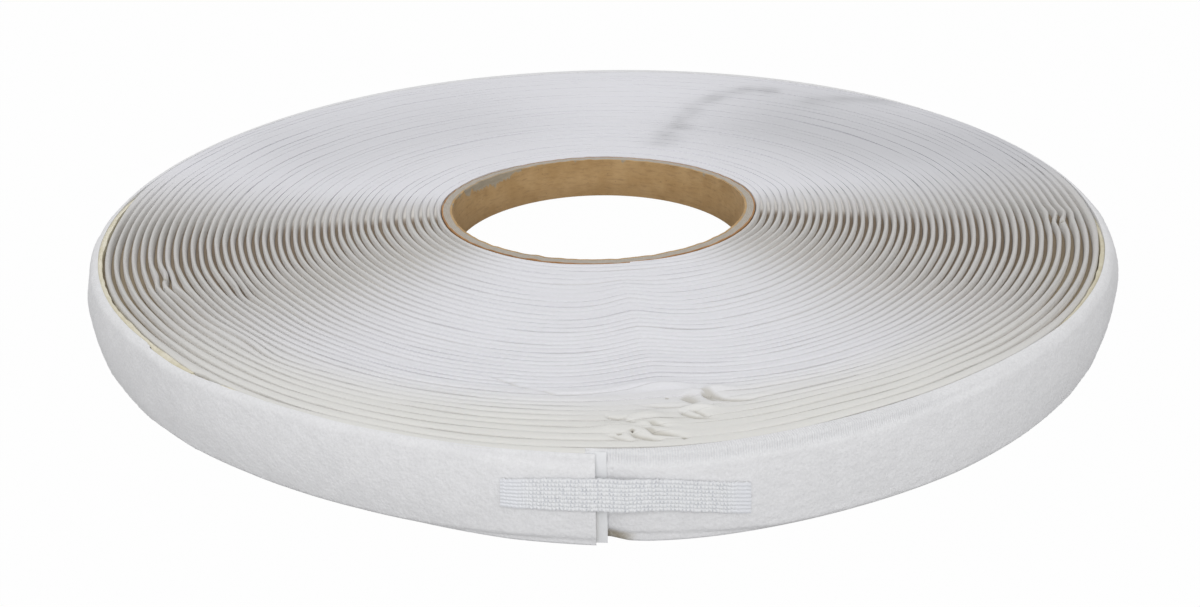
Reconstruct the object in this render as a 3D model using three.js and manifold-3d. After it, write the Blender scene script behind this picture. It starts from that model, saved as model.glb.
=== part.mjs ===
// Roll of loop tape lying on its side: one long self-adhesive strip wound on a paperboard core,
// its free end held down by a short strip of hook tape.
// Millimetres, +Z up, origin under the middle of the roll on the surface it lies on.
// The strip winds outward anticlockwise seen from above. Angles are counted along the strip, so they
// keep growing from turn to turn, and -90 degrees is the front.
import * as THREE from "three";
import { mergeVertices } from "three/addons/utils/BufferGeometryUtils.js";
import Module from "manifold-3d";

const manifold = await Module();
manifold.setup();

const degree = Math.PI / 180;
const fullTurn = 2 * Math.PI;

// Core, wound from three layers of paper and board
const coreBore = 76.2;
const coreHeight = 12.7;
const innerPlyThickness = 0.5;
const boardThickness = 1.2;
const outerPlyThickness = 0.4;
const plyClearance = 0.3;
const plySeamWidth = 0.4;
const plySeamSlant = 38 * degree;
const innerPlySeamAngle = 215 * degree;
const outerPlySeamAngle = 320 * degree;
const coreFacets = 72;

// Strip as it lies in the roll: fabric, adhesive and liner pressed together
const tapeWidth = 16;
const woundThickness = 1.34;
const windingGap = 0.47;
const coreSeatClearance = 0.3;
const buttGap = 0.3;
const startAngle = -80 * degree;
const endAngle = -90 * degree;
const wholeTurns = 44;
const outerWindingTurns = 21;
const innerFacetAngle = fullTurn / 20;
const outerFacetAngle = fullTurn / 25;
const looseFacetAngle = fullTurn / 60;

// Outermost turn, where nothing presses the pile down
const groundThickness = 0.8;
const pileHeight = 1.2;
const selvedgeWidth = 1.6;
const pileShoulder = 0.5;
const riseFromShare = 0.72;

// Loosened outer turns, which bow out at the front where the end was pulled tight
const frontBow = 6.4;
const frontBowAngle = -84.7 * degree;
const frontBowSpread = 24.3 * degree;
const frontBowRoundness = 0.22;
const bowGrowth = 2;

// Free end of the strip, in its three layers
const tailLength = 85;
const tailGroundThickness = 0.35;
const tailPileHeight = 0.45;
const adhesiveThickness = 0.2;
const adhesiveInset = 0.6;
const linerThickness = 0.2;
const linerMargin = 1.7;
const layerClearance = 0.2;
const tailSeatClearance = 0.3;

// Hook strip that holds the end down
const closureLength = 43;
const closureWidth = 6.2;
const closureThickness = 0.45;
const closureOnTail = 18;
const closureClearance = 0.3;
const closureDropLength = 10;
const closureFacets = 18;
const hookRows = 6;
const hookColumns = 21;
const hookHeight = 0.7;
const hookWire = 0.13;
const hookBorder = 0.7;
const hookSteps = 3;

const angleTolerance = 1e-6;

const kraft = new THREE.MeshStandardMaterial({ color: 0xa5855a, roughness: 0.85, metalness: 0 });
const greyBoard = new THREE.MeshStandardMaterial({ color: 0x9c9486, roughness: 0.9, metalness: 0 });
const loopFabric = new THREE.MeshStandardMaterial({ color: 0xdcdcdc, roughness: 0.95, metalness: 0 });
const adhesiveCoat = new THREE.MeshStandardMaterial({ color: 0xd8cfb4, roughness: 0.35, metalness: 0 });
const linerFilm = new THREE.MeshStandardMaterial({ color: 0xe9ebea, roughness: 0.4, metalness: 0 });
const hookWeave = new THREE.MeshStandardMaterial({ color: 0xeeeeec, roughness: 0.55, metalness: 0 });

// Plan of the strip: where each turn's inner face runs

const coreRadius = coreBore / 2 + innerPlyThickness + boardThickness + outerPlyThickness + 2 * plyClearance;
const pitch = woundThickness + windingGap;
const looseThickness = groundThickness + pileHeight;

const stripEnd = endAngle + wholeTurns * fullTurn;
const roughOuterRadius = coreRadius + wholeTurns * pitch + frontBow;
const tailStart = stripEnd - tailLength / roughOuterRadius;
const looseTurnStart = tailStart - fullTurn;
const outerWindingStart = looseTurnStart - outerWindingTurns * fullTurn;

// Share of the front bow that a turn has: none at the splice, all of it at the strip's end.
function bowShare(angle) {
  const share = (angle - outerWindingStart) / (stripEnd - outerWindingStart);
  return THREE.MathUtils.clamp(share, 0, 1) ** bowGrowth;
}

function bow(angle) {
  const away = Math.atan2(Math.sin(angle - frontBowAngle), Math.cos(angle - frontBowAngle));
  return frontBow * bowShare(angle) * Math.exp(-Math.hypot(away / frontBowSpread, frontBowRoundness));
}

// A coarse turn's flats cut inside its corners, so each stretch starts a little further out.
const innerStartRadius = (coreRadius + coreSeatClearance) / Math.cos(innerFacetAngle / 2);

function innerWindingRadius(angle) {
  return innerStartRadius + (pitch * (angle - startAngle)) / fullTurn;
}

const outerStartRadius = innerWindingRadius(outerWindingStart) / Math.cos(outerFacetAngle / 2);

function outerWindingBase(angle) {
  return outerStartRadius + (pitch * (angle - outerWindingStart)) / fullTurn;
}

function outerWindingRadius(angle) {
  return outerWindingBase(angle) + bow(angle);
}

const looseStartRadius = outerWindingBase(looseTurnStart) / Math.cos(looseFacetAngle / 2);
const looseRise = looseThickness + windingGap - pitch;

// The outermost turn follows the winding, then climbs over its own thicker start.
function looseTurnRadius(angle) {
  const turn = (angle - looseTurnStart) / fullTurn;
  const rise = looseRise * THREE.MathUtils.smoothstep(turn, riseFromShare, 1);
  return looseStartRadius + pitch * turn + rise + bow(angle);
}

// Pile surface that the free end and the hook strip lie on
function restingRadius(angle) {
  return looseTurnRadius(angle - fullTurn) + looseThickness;
}

const tailStack = linerThickness + adhesiveThickness + tailGroundThickness + tailPileHeight
  + 2 * layerClearance;
const tailRootStandoff = windingGap + looseThickness - tailStack;

function linerRadius(angle) {
  const along = THREE.MathUtils.clamp((angle - tailStart) / (stripEnd - tailStart), 0, 1);
  return restingRadius(angle) + THREE.MathUtils.lerp(tailRootStandoff, tailSeatClearance, along);
}

function adhesiveRadius(angle) {
  return linerRadius(angle) + linerThickness + layerClearance;
}

function tailFabricRadius(angle) {
  return adhesiveRadius(angle) + adhesiveThickness + layerClearance;
}

function tailFaceRadius(angle) {
  return tailFabricRadius(angle) + tailGroundThickness + tailPileHeight;
}

// The hook strip lies on the free end, then drops to the turn below past the liner's edge.
const stripEndRadius = tailFaceRadius(stripEnd);
const closureStart = stripEnd - closureOnTail / stripEndRadius;
const closureEnd = closureStart + closureLength / stripEndRadius;
const dropStart = stripEnd + linerMargin / stripEndRadius;
const dropEnd = dropStart + closureDropLength / stripEndRadius;

function closureRadius(angle) {
  const drop = THREE.MathUtils.smoothstep(angle, dropStart, dropEnd);
  const surface = THREE.MathUtils.lerp(tailFaceRadius(angle), restingRadius(angle), drop);
  return surface + closureClearance + hookHeight;
}

// A stretch of the strip in plan. Its corners lie at whole multiples of the facet angle,
// so the flats of neighbouring turns stay parallel.
class StripPath extends THREE.Curve {
  constructor(radiusAt, from, to, facetAngle) {
    super();
    Object.assign(this, { radiusAt, from, to, facetAngle });
    this.grid = Math.floor(from / facetAngle) * facetAngle;
    this.steps = Math.ceil((to - this.grid) / facetAngle - angleTolerance);
  }

  angleOf(share) {
    const angle = this.grid + share * this.steps * this.facetAngle;
    return THREE.MathUtils.clamp(angle, this.from, this.to);
  }

  getPoint(share, target = new THREE.Vector3()) {
    const angle = THREE.MathUtils.lerp(this.from, this.to, share);
    const radius = this.radiusAt(angle);
    return target.set(radius * Math.cos(angle), radius * Math.sin(angle), 0);
  }

  getUtoTmapping(share) {
    return (this.angleOf(share) - this.from) / (this.to - this.from);
  }
}

// Section of a strip as [distance out from the path, height] points. The sweep's own axes
// point down and inward, so both are turned round here.
function stripSection(points) {
  return new THREE.Shape(points.map(([out, height]) => new THREE.Vector2(-height, -out)));
}

function flatSection(thickness, low, high) {
  return stripSection([[0, low], [thickness, low], [thickness, high], [0, high]]);
}

// Flat woven edges with the raised pile between them
function pileSection(ground, pile) {
  const low = selvedgeWidth;
  const high = tapeWidth - selvedgeWidth;
  return stripSection([
    [0, 0],
    [ground, 0],
    [ground, low],
    [ground + pile, low + pileShoulder],
    [ground + pile, high - pileShoulder],
    [ground, high],
    [ground, tapeWidth],
    [0, tapeWidth],
  ]);
}

function sweep(section, path) {
  return new THREE.ExtrudeGeometry(section, { steps: path.steps, extrudePath: path, bevelEnabled: false });
}

// Least distance between a winding's outer face and the inner face of the turn round it
function leastGap(path, thickness) {
  const inner = [];
  const outer = [];
  for (let step = 0; step <= path.steps; step += 1) {
    const point = path.getPointAt(step / path.steps);
    const tangent = path.getTangentAt(step / path.steps);
    const outward = new THREE.Vector3(tangent.y, -tangent.x, 0);
    inner.push(point);
    outer.push(point.clone().addScaledVector(outward, thickness));
  }
  const perTurn = Math.round(fullTurn / path.facetAngle);
  const segment = new THREE.Line3();
  const nearest = new THREE.Vector3();
  let least = Infinity;
  for (let step = perTurn; step < inner.length; step += 1) {
    for (let other = step - perTurn - 1; other <= step - perTurn; other += 1) {
      if (other >= 0) {
        segment.set(outer[other], outer[other + 1]).closestPointToPoint(inner[step], true, nearest);
        least = Math.min(least, nearest.distanceTo(inner[step]));
        segment.set(inner[step - 1], inner[step]).closestPointToPoint(outer[other + 1], true, nearest);
        least = Math.min(least, nearest.distanceTo(outer[other + 1]));
      }
    }
  }
  return least;
}

// Solids for cutting and joining

function bareGeometry(geometry) {
  const bare = geometry.clone();
  bare.deleteAttribute("normal");
  bare.deleteAttribute("uv");
  return mergeVertices(bare);
}

function toSolid(geometry) {
  const bare = bareGeometry(geometry);
  const mesh = new manifold.Mesh({
    numProp: 3,
    vertProperties: new Float32Array(bare.attributes.position.array),
    triVerts: new Uint32Array(bare.index.array),
  });
  return new manifold.Manifold(mesh);
}

function toGeometry(solid) {
  const mesh = solid.getMesh();
  const geometry = new THREE.BufferGeometry();
  geometry.setAttribute("position", new THREE.BufferAttribute(mesh.vertProperties, 3));
  geometry.setIndex(new THREE.BufferAttribute(mesh.triVerts, 1));
  geometry.computeVertexNormals();
  return geometry;
}

// Core

function ring(innerRadius, thickness) {
  const outerRadius = innerRadius + thickness;
  const profile = [
    new THREE.Vector2(innerRadius, 0),
    new THREE.Vector2(outerRadius, 0),
    new THREE.Vector2(outerRadius, coreHeight),
    new THREE.Vector2(innerRadius, coreHeight),
    new THREE.Vector2(innerRadius, 0),
  ];
  return new THREE.LatheGeometry(profile, coreFacets).rotateX(Math.PI / 2);
}

// Slanted joint where the edges of a wound paper ply meet. The wall curves away from the flat
// cutter on both sides, so the cutter is deeper than the ply by that much.
function plySeamCutter(radius, thickness, angle) {
  const reach = 2 * coreHeight;
  const halfRun = (coreHeight / 2) * Math.tan(plySeamSlant) + plySeamWidth;
  const curveDepth = radius - Math.sqrt(radius ** 2 - halfRun ** 2);
  const depth = 2 * (thickness + curveDepth);
  const cutter = new THREE.BoxGeometry(depth, plySeamWidth, reach / Math.cos(plySeamSlant));
  return cutter.rotateX(plySeamSlant).translate(radius, 0, coreHeight / 2).rotateZ(angle);
}

function seamedPly(innerRadius, thickness, seamAngle) {
  const cutter = plySeamCutter(innerRadius + thickness / 2, thickness, seamAngle);
  return toGeometry(toSolid(ring(innerRadius, thickness)).subtract(toSolid(cutter)));
}

function makeCore() {
  const innerPlyRadius = coreBore / 2;
  const boardRadius = innerPlyRadius + innerPlyThickness + plyClearance;
  const outerPlyRadius = boardRadius + boardThickness + plyClearance;
  return [
    part("core_inner_ply", seamedPly(innerPlyRadius, innerPlyThickness, innerPlySeamAngle), kraft),
    part("core_board", ring(boardRadius, boardThickness), greyBoard),
    part("core_outer_ply", seamedPly(outerPlyRadius, outerPlyThickness, outerPlySeamAngle), kraft),
  ];
}

// Wound strip

function makeWindings() {
  const innerPath = new StripPath(innerWindingRadius, startAngle, outerWindingStart, innerFacetAngle);
  const outerPath = new StripPath(
    outerWindingRadius,
    outerWindingStart + buttGap / outerStartRadius,
    looseTurnStart,
    outerFacetAngle,
  );
  const loosePath = new StripPath(
    looseTurnRadius,
    looseTurnStart + buttGap / looseStartRadius,
    tailStart,
    looseFacetAngle,
  );
  console.log("least gap of the inner winding to itself", leastGap(innerPath, woundThickness).toFixed(3));
  console.log("least gap of the outer winding to itself", leastGap(outerPath, woundThickness).toFixed(3));
  console.log("turns", innerTurns().toFixed(2), outerWindingTurns);
  const woundSection = flatSection(woundThickness, 0, tapeWidth);
  return [
    part("tape_inner_winding", sweep(woundSection, innerPath), loopFabric),
    part("tape_outer_winding", sweep(woundSection, outerPath), loopFabric),
    part("tape_outermost_turn", sweep(pileSection(groundThickness, pileHeight), loosePath), loopFabric),
  ];
}

function innerTurns() {
  return (outerWindingStart - startAngle) / fullTurn;
}

// Free end

const tailRoot = tailStart + buttGap / stripEndRadius;

function makeTail() {
  const fabricPath = new StripPath(tailFabricRadius, tailRoot, stripEnd, looseFacetAngle);
  const adhesivePath = new StripPath(adhesiveRadius, tailRoot, stripEnd, looseFacetAngle);
  const adhesiveSection = flatSection(adhesiveThickness, adhesiveInset, tapeWidth - adhesiveInset);
  return [
    part("tail_loop_fabric", sweep(pileSection(tailGroundThickness, tailPileHeight), fabricPath), loopFabric),
    part("tail_adhesive_coat", sweep(adhesiveSection, adhesivePath), adhesiveCoat),
  ];
}

function makeLiner() {
  const linerEnd = stripEnd + linerMargin / stripEndRadius;
  const path = new StripPath(linerRadius, tailRoot, linerEnd, looseFacetAngle);
  return part("tail_release_liner", sweep(flatSection(linerThickness, 0, tapeWidth), path), linerFilm);
}

// Hook strip: a woven backing with rows of hooks on its inner face

// One hook's bend, as shares of its height: along the strip, then in towards the pile
const hookBendShares = [[0, -0.3], [0, 0.62], [0.3, 1], [0.62, 0.7]];

function hookSolid(path, share, height, facing) {
  const root = path.getPointAt(share);
  const along = path.getTangentAt(share);
  const inward = new THREE.Vector3(-along.y, along.x, 0);
  const bend = hookBendShares.map(([forward, down]) => root
    .clone()
    .addScaledVector(along, facing * forward * hookHeight)
    .addScaledVector(inward, down * (hookHeight - hookWire))
    .setZ(height));
  const section = new THREE.Shape(
    [0, 1, 2].map((corner) => new THREE.Vector2(hookWire, 0).rotateAround(
      new THREE.Vector2(),
      (corner * fullTurn) / 3,
    )),
  );
  const wirePath = new THREE.CatmullRomCurve3(bend);
  const wire = new THREE.ExtrudeGeometry(
    section,
    { steps: hookSteps, extrudePath: wirePath, bevelEnabled: false },
  );
  return toSolid(wire);
}

function makeClosure() {
  const facetAngle = (closureEnd - closureStart) / closureFacets;
  const path = new StripPath(closureRadius, closureStart, closureEnd, facetAngle);
  const low = (tapeWidth - closureWidth) / 2;
  let solid = toSolid(sweep(flatSection(closureThickness, low, low + closureWidth), path));
  const rowSpan = closureWidth - 2 * hookBorder;
  const columnBorder = hookBorder / closureLength;
  for (let row = 0; row < hookRows; row += 1) {
    const height = low + hookBorder + (rowSpan * row) / (hookRows - 1);
    const facing = row % 2 === 0 ? 1 : -1;
    for (let column = 0; column < hookColumns; column += 1) {
      const share = THREE.MathUtils.lerp(2 * columnBorder, 1 - 2 * columnBorder, column / (hookColumns - 1));
      solid = solid.add(hookSolid(path, share, height, facing));
    }
  }
  return part("closure_hook_strip", toGeometry(solid), hookWeave);
}

// Assembly: each group that moves stands at its hinge

function part(name, geometry, material) {
  const mesh = new THREE.Mesh(geometry, material);
  mesh.name = name;
  return mesh;
}

function pointAt(radius, angle) {
  return new THREE.Vector3(radius * Math.cos(angle), radius * Math.sin(angle), 0);
}

function hinged(name, pivot, pieces) {
  const group = new THREE.Group();
  group.name = name;
  group.position.copy(pivot);
  for (const piece of pieces) {
    piece.position.sub(pivot);
    group.add(piece);
  }
  return group;
}

// The free end swings out about its outer face, so the butt joint opens as it lifts.
const tailPivot = pointAt(tailFaceRadius(tailRoot), tailRoot);
const linerPivot = pointAt(linerRadius(tailRoot) + linerThickness, tailRoot);
const closurePivot = pointAt(closureRadius(closureStart) + closureThickness, closureStart);

const liner = hinged("liner_hinge", linerPivot, [makeLiner()]);
const closure = hinged("closure_hinge", closurePivot, [makeClosure()]);
const tail = hinged("tail_hinge", tailPivot, [...makeTail(), liner, closure]);

const roll = new THREE.Group();
roll.name = "loop_tape_roll";
roll.add(...makeCore(), ...makeWindings(), tail);

// The core's axis is a little off the middle, because the outline is a spiral bowed at the front.
const footprint = new THREE.Box3().setFromObject(roll);
const middle = footprint.getCenter(new THREE.Vector3());
roll.position.set(-middle.x, -middle.y, -footprint.min.z);

export default roll;
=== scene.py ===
# Roll of white loop tape on a paperboard core, its free end held by a short strip of hook tape.
# Metres, +Z up, -Y to the front. Angles along the strip grow from turn to turn, anticlockwise from above.
import math
import bmesh
import bpy
import numpy as np
from mathutils import Matrix, Vector


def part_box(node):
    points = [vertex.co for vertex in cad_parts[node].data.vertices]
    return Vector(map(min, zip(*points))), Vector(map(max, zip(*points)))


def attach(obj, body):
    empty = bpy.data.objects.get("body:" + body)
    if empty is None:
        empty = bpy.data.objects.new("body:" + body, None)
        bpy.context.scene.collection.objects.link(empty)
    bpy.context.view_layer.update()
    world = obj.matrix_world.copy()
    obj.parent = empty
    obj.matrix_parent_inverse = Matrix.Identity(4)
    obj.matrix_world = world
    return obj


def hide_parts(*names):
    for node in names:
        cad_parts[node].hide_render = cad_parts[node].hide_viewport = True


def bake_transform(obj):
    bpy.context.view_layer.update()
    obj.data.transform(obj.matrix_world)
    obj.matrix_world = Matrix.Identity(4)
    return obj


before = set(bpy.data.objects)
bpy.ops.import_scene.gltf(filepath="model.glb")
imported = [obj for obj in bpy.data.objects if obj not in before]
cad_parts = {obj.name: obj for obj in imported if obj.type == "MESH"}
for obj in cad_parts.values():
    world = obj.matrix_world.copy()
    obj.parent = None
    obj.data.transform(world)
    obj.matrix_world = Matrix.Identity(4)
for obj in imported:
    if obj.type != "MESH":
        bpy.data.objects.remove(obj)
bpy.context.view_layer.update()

MM = 0.001
DEGREE = math.pi / 180
TURN = 2 * math.pi

# Plan of the strip, as in the part's source

TAPE_WIDTH = 16 * MM
CORE_BORE = 76.2 * MM
CORE_HEIGHT = 12.7 * MM
CORE_RADIUS = 40.8 * MM
CORE_SEAT = 0.3 * MM
CAD_PITCH = 1.81 * MM
CAD_GAP = 0.47 * MM
START_ANGLE = -80 * DEGREE
END_ANGLE = -90 * DEGREE
WHOLE_TURNS = 44
OUTER_TURNS = 21
INNER_FACET = TURN / 20
OUTER_FACET = TURN / 25
LOOSE_FACET = TURN / 60
FRONT_BOW = 6.4 * MM
FRONT_BOW_ANGLE = -84.7 * DEGREE
FRONT_BOW_SPREAD = 24.3 * DEGREE
FRONT_BOW_ROUNDNESS = 0.22
BOW_GROWTH = 2
GROUND = 0.8 * MM
PILE = 1.2 * MM
LOOSE_THICKNESS = GROUND + PILE
RISE_FROM = 0.72
TAIL_LENGTH = 85 * MM
TAIL_GROUND = 0.35 * MM
TAIL_PILE = 0.45 * MM
ADHESIVE = 0.2 * MM
LINER = 0.2 * MM
LINER_MARGIN = 1.7 * MM
FABRIC_SHORT = 1.5 * MM
FILM_PAST = 1.9 * MM
LAYER_GAP = 0.2 * MM
TAIL_SEAT = 0.3 * MM
CLOSURE_LENGTH = 43 * MM
CLOSURE_THICKNESS = 0.45 * MM
CLOSURE_ON_TAIL = 18 * MM
CLOSURE_GAP = 0.3 * MM
CLOSURE_DROP = 10 * MM
HOOK_HEIGHT = 0.7 * MM

STRIP_END = END_ANGLE + WHOLE_TURNS * TURN
ROUGH_RADIUS = CORE_RADIUS + WHOLE_TURNS * CAD_PITCH + FRONT_BOW
TAIL_START = STRIP_END - TAIL_LENGTH / ROUGH_RADIUS
LOOSE_START = TAIL_START - TURN
SPLICE = LOOSE_START - OUTER_TURNS * TURN

core_low, core_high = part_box("core_board")
AXIS_X = (core_low.x + core_high.x) / 2
AXIS_Y = (core_low.y + core_high.y) / 2


def smooth(value, low, high):
    share = np.clip((value - low) / (high - low), 0, 1)
    return share * share * (3 - 2 * share)


def wrapped(angle):
    return np.arctan2(np.sin(angle), np.cos(angle))


def bell(value, spread):
    return np.exp(-((value / spread) ** 2))


def bow(angle):
    share = np.clip((angle - SPLICE) / (STRIP_END - SPLICE), 0, 1) ** BOW_GROWTH
    away = wrapped(angle - FRONT_BOW_ANGLE) / FRONT_BOW_SPREAD
    return FRONT_BOW * share * np.exp(-np.hypot(away, FRONT_BOW_ROUNDNESS))


inner_start_radius = (CORE_RADIUS + CORE_SEAT) / math.cos(INNER_FACET / 2)
splice_radius = inner_start_radius + CAD_PITCH * (SPLICE - START_ANGLE) / TURN
outer_start_radius = splice_radius / math.cos(OUTER_FACET / 2)
loose_start_radius = (outer_start_radius + CAD_PITCH * OUTER_TURNS) / math.cos(LOOSE_FACET / 2)


def loose_radius(angle):
    """Inner face of the outermost turn, without the bow."""
    turn = (angle - LOOSE_START) / TURN
    rise = (LOOSE_THICKNESS + CAD_GAP - CAD_PITCH) * smooth(turn, RISE_FROM, 1)
    return loose_start_radius + CAD_PITCH * turn + rise


def resting_radius(angle):
    """Pile surface that the free end and the hook strip lie on."""
    return loose_radius(angle - TURN) + bow(angle - TURN) + LOOSE_THICKNESS


TAIL_STACK = LINER + ADHESIVE + TAIL_GROUND + TAIL_PILE + 2 * LAYER_GAP
ROOT_STANDOFF = CAD_GAP + LOOSE_THICKNESS - TAIL_STACK


def liner_radius(angle):
    along = np.clip((angle - TAIL_START) / (STRIP_END - TAIL_START), 0, 1)
    return resting_radius(angle) + ROOT_STANDOFF + (TAIL_SEAT - ROOT_STANDOFF) * along


def adhesive_radius(angle):
    return liner_radius(angle) + LINER + LAYER_GAP


def tail_face_radius(angle):
    return liner_radius(angle) + TAIL_STACK


END_RADIUS = float(tail_face_radius(STRIP_END))
FABRIC_END = STRIP_END - FABRIC_SHORT / END_RADIUS
FILM_END = FABRIC_END + FILM_PAST / END_RADIUS
CLOSURE_START = STRIP_END - CLOSURE_ON_TAIL / END_RADIUS
DROP_START = STRIP_END + LINER_MARGIN / END_RADIUS
DROP_END = DROP_START + CLOSURE_DROP / END_RADIUS


def closure_radius(angle):
    """Inner face of the hook strip's backing."""
    drop = smooth(angle, DROP_START, DROP_END)
    surface = tail_face_radius(angle) * (1 - drop) + resting_radius(angle) * drop
    return surface + CLOSURE_GAP + HOOK_HEIGHT


# Outline of the outer layers in the photograph: how far their outer face stands out from the plan's.
# Rows: angle in degrees, then millimetres at the lower edge, half way up and at the upper edge.

OUTER_TURN_LEAN = (
    (-128.4, -0.4, -0.1, -0.9),
    (-116, -0.8, -0.2, -1.1),
    (-110, -0.7, -0.1, -1.2),
    (-104.5, -0.2, 0.0, -1.3),
    (-97, 0.7, 0.2, -1.6),
    (-91.5, 0.3, 0.0, -1.7),
    (-89.6, 0.1, 0.0, -1.6),
    (-88.2, 1.2, 0.5, -1.0),
    (-86.8, 1.4, 0.9, -0.6),
    (-80, 1.5, 0.9, -0.7),
    (-70, 1.7, 1.1, -0.7),
    (-60, 2.0, 1.3, -0.6),
    (-45, 1.5, 1.5, -0.3),
    (-33, 0.9, 1.5, -0.1),
    (-20, 1.0, 2.3, 0.0),
    (-5, 1.0, 1.6, -0.6),
    (2, 0.4, 0.6, -0.8),
    (10, -0.5, -0.3, -1.0),
    (20, -1.1, -0.9, -1.2),
    (32, -0.8, -0.5, -0.8),
    (42, 0.2, 0.4, 0.2),
    (60, 0.6, 1.0, 1.0),
    (90, 1.0, 1.8, 1.4),
    (120, 1.0, 1.8, 1.3),
)
FREE_END_LEAN = (
    (60, 1.0, 1.8, 1.5),
    (120, 1.0, 1.8, 1.3),
    (150, 0.6, 1.6, 0.0),
    (180, 0.2, 1.8, -0.3),
    (195, 0.2, 1.8, -0.3),
    (210, 0.3, 1.2, -0.8),
    (219, 0.0, 0.4, -1.3),
    (223, -0.1, 0.2, -1.6),
    (225, -0.1, 0.2, -1.0),
    (231.6, -0.3, 0.0, -1.5),
    (238, -0.7, -0.3, -2.3),
    (244, -0.8, -0.4, -2.4),
    (250, -0.8, -0.4, -2.4),
    (255.5, -0.6, -0.4, -2.2),
    (263, 0.5, 0.1, -2.1),
    (270, 0.8, 0.2, -1.9),
)
# The same for the inner face of the outermost turn, at its upper edge alone
INNER_LEAN = (
    (-128.4, -0.7),
    (-120, -0.3),
    (-110, -0.1),
    (-97, -0.3),
    (-83, -0.9),
    (-70, -1.1),
    (-56, -1.0),
    (-42, -0.2),
    (-30, 0.0),
    (180, 0.0),
    (204, 0.0),
    (211, -0.3),
    (218, -0.9),
    (225, -1.0),
    (231.6, -0.7),
)


def from_table(angle, table, column):
    """Value of a column of the table, in metres. Angles count up from the one in its first row."""
    rows = np.array(table)
    turned = rows[0, 0] + np.mod(np.asarray(angle) / DEGREE - rows[0, 0], 360)
    return np.interp(turned, rows[:, 0], rows[:, column]) * MM


def lean(angle, share, table):
    """Radial shift of the outer face at a share of the tape's width, for each angle."""
    low, middle, high = (from_table(angle, table, column) for column in (1, 2, 3))
    return (
        low * (1 - share) * (1 - 2 * share)
        + middle * 4 * share * (1 - share)
        + high * share * (2 * share - 1)
    )


def inner_lean(angle):
    return from_table(angle, INNER_LEAN, 1)


# Camera, from a pinhole fit to the photograph

FOCAL_PIXELS = 1141.6
FRAME_PIXELS = 1200
CENTRE_PIXEL = 570
SENSOR = 36
CAMERA_PLACE = Vector((-0.15 * MM, -278.0 * MM, 117.8 * MM))
CAMERA_PITCH = 0.447
CAMERA_YAW = -0.026
CAMERA_ROLL = -0.029
NEAREST_SEEN = 10 * MM
FARTHEST_SEEN = 20


def make_camera():
    data = bpy.data.cameras.new("camera")
    camera = bpy.data.objects.new("camera", data)
    bpy.context.scene.collection.objects.link(camera)
    level = Vector((math.sin(CAMERA_YAW), math.cos(CAMERA_YAW), 0))
    side = Vector((math.cos(CAMERA_YAW), -math.sin(CAMERA_YAW), 0))
    rise = Vector((0, 0, 1))
    forward = math.cos(CAMERA_PITCH) * level - math.sin(CAMERA_PITCH) * rise
    upright = math.sin(CAMERA_PITCH) * level + math.cos(CAMERA_PITCH) * rise
    right = math.cos(CAMERA_ROLL) * side + math.sin(CAMERA_ROLL) * upright
    up = math.cos(CAMERA_ROLL) * upright - math.sin(CAMERA_ROLL) * side
    turned = Matrix((right, up, -forward)).transposed()
    camera.matrix_world = Matrix.Translation(CAMERA_PLACE) @ turned.to_4x4()
    data.sensor_width = SENSOR
    data.lens = FOCAL_PIXELS / FRAME_PIXELS * SENSOR
    data.shift_x = (FRAME_PIXELS / 2 - CENTRE_PIXEL) / FRAME_PIXELS
    data.clip_start = NEAREST_SEEN
    data.clip_end = FARTHEST_SEEN
    bpy.context.scene.camera = camera


# Node trees


class Look:
    """A material built on one Principled shader, with short calls for the nodes it needs."""

    def __init__(self, name, roughness, **sockets):
        self.material = bpy.data.materials.new(name)
        self.material.use_nodes = True
        self.nodes = self.material.node_tree.nodes
        self.links = self.material.node_tree.links
        self.shader = self.nodes["Principled BSDF"]
        self.shader.inputs["Roughness"].default_value = roughness
        for socket, value in sockets.items():
            self.shader.inputs[socket.replace("_", " ")].default_value = value

    def feed(self, socket, value):
        if isinstance(value, bpy.types.NodeSocket):
            self.links.new(value, socket)
        else:
            socket.default_value = value

    def node(self, kind, output, inputs, **settings):
        """Output of a new node that has these settings and inputs."""
        node = self.nodes.new("ShaderNode" + kind)
        for setting, value in settings.items():
            setattr(node, setting, value)
        for socket, value in inputs.items():
            self.feed(node.inputs[socket], value)
        return node.outputs[output]

    def attribute(self, name, output="Fac"):
        return self.node("Attribute", output, {}, attribute_name=name)

    def stretched(self, vector, scale):
        return self.node("VectorMath", 0, {0: vector, 1: scale}, operation="MULTIPLY")

    def noise(self, vector, size, detail=3, roughness=0.55, distortion=0):
        inputs = {"Vector": vector, "Scale": 1 / size, "Detail": detail}
        inputs |= {"Roughness": roughness, "Distortion": distortion}
        return self.node("TexNoise", "Fac", inputs)

    def cells(self, vector, size):
        return self.node("TexVoronoi", "Distance", {"Vector": vector, "Scale": 1 / size})

    def maths(self, operation, first, second=0.0):
        return self.node("Math", 0, {0: first, 1: second}, operation=operation)

    def times(self, first, second):
        return self.maths("MULTIPLY", first, second)

    def plus(self, first, second):
        return self.maths("ADD", first, second)

    def minus(self, first, second):
        return self.maths("SUBTRACT", first, second)

    def spread(self, value, low, high, to_low=0.0, to_high=1.0):
        """Smooth step from one value to another between two values of the input."""
        inputs = {"Value": value, "From Min": low, "From Max": high, "To Min": to_low, "To Max": to_high}
        return self.node("MapRange", "Result", inputs, interpolation_type="SMOOTHSTEP")

    def mixed(self, share, first, second):
        return self.node("Mix", "Result", {"Factor": share, "A": first, "B": second}, data_type="RGBA")

    def part(self, vector, axis):
        return self.node("SeparateXYZ", axis, {0: vector})

    def finished(self, colour, height, distance):
        """The material with its colour, and with bumps of that height pattern and depth."""
        bump = self.node("Bump", "Normal", {"Height": height, "Distance": distance})
        self.feed(self.shader.inputs["Base Color"], colour)
        self.feed(self.shader.inputs["Normal"], bump)
        return self.material


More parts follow.
